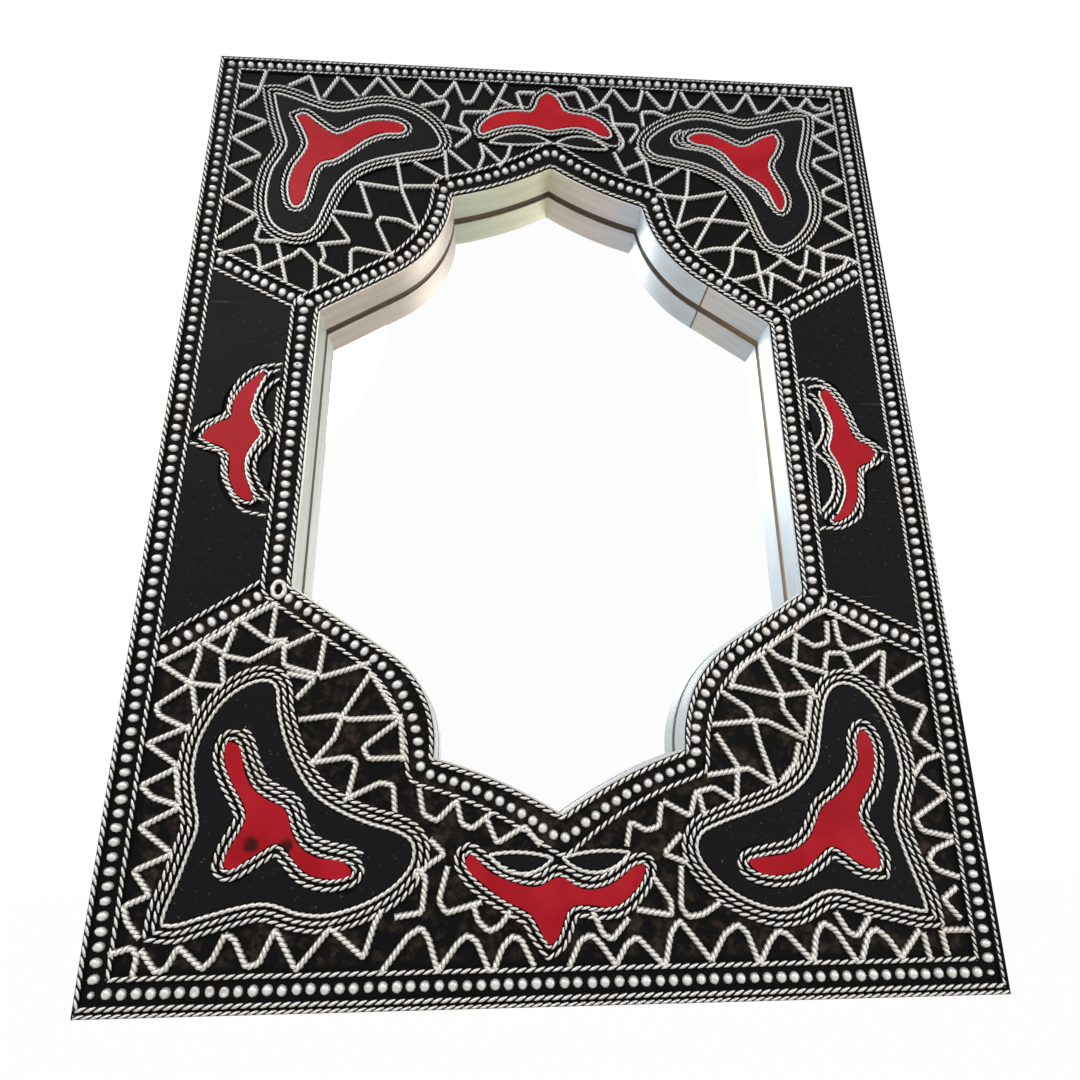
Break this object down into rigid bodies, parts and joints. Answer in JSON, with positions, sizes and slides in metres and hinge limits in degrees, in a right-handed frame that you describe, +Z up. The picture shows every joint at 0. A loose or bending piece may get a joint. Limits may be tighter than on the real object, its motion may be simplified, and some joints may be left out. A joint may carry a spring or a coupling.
{
  "type": "wall mirror",
  "caption": "Hanging wall mirror: a wooden frame with a lobed, pointed opening, dressed in front with silver wire, beads, red inlays and black fields; a wire ring behind hangs it.",
  "frame": {"origin": "middle of the back, on the wall plane", "axes": "+X to the viewer's right, +Y into the wall, +Z up; the front faces -Y"},
  "size_m": [0.24, 0.0235, 0.312],
  "materials": {
    "board_wood": "satin",
    "batten_wood": "matt",
    "hardboard": "matt",
    "packing_card": "matt",
    "liner_nickel": "satin",
    "silvered_glass": "polished",
    "steel": "satin",
    "black_resin": "gloss",
    "black_field": "satin",
    "red_inlay": "gloss",
    "silver_wire": "worn",
    "silver_bead": "worn"
  },
  "bodies": {
    "frame": {"almond_cells": "black_field", "almond_wires": "silver_wire", "back_board": "hardboard", "back_nails": "steel", "batten_bottom": "batten_wood", "batten_left": "batten_wood", "batten_right": "batten_wood", "batten_top": "batten_wood", "black_ground": "black_resin", "border_beads": "silver_bead", "border_wire_inner": "silver_wire", "border_wire_outer": "silver_wire", "edge_wire": "silver_wire", "filigree_bottom_left": "silver_wire", "filigree_bottom_right": "silver_wire", "filigree_top_left": "silver_wire", "filigree_top_right": "silver_wire", "front_board": "board_wood", "hanger_plate": "steel", "hanger_screws": "steel", "inlay_bottom": "red_inlay", "inlay_bottom_left": "red_inlay", "inlay_bottom_right": "red_inlay", "inlay_left": "red_inlay", "inlay_right": "red_inlay", "inlay_top": "red_inlay", "inlay_top_left": "red_inlay", "inlay_top_right": "red_inlay", "inlay_wires_bottom": "silver_wire", "inlay_wires_left": "silver_wire", "inlay_wires_right": "silver_wire", "inlay_wires_top": "silver_wire", "liner_apex_bottom_left": "liner_nickel", "liner_apex_bottom_right": "liner_nickel", "liner_apex_top_left": "liner_nickel", "liner_apex_top_right": "liner_nickel", "liner_lobe_bottom_left": "liner_nickel", "liner_lobe_bottom_right": "liner_nickel", "liner_lobe_top_left": "liner_nickel", "liner_lobe_top_right": "liner_nickel", "liner_side_left": "liner_nickel", "liner_side_right": "liner_nickel", "medallion_bottom_left": "black_field", "medallion_bottom_right": "black_field", "medallion_top_left": "black_field", "medallion_top_right": "black_field", "medallion_wires_bottom_left": "silver_wire", "medallion_wires_bottom_right": "silver_wire", "medallion_wires_top_left": "silver_wire", "medallion_wires_top_right": "silver_wire", "mirror_pane": "silvered_glass", "opening_beads": "silver_bead", "opening_wire_inner": "silver_wire", "opening_wire_outer": "silver_wire", "packing_board": "packing_card", "side_panel_left": "black_field", "side_panel_right": "black_field", "slanted_row_beads": "silver_bead", "slanted_row_wires": "silver_wire"},
    "ring": {"hanger_ring": "steel"}
  },
  "joints": [
    {"name": "ring_swing", "type": "hinge", "parent": "frame", "child": "ring", "pos_m": [0, -0.00422, 0.13623], "axis": [-1, 0, 0], "range_deg": [0, 180]}
  ]
}
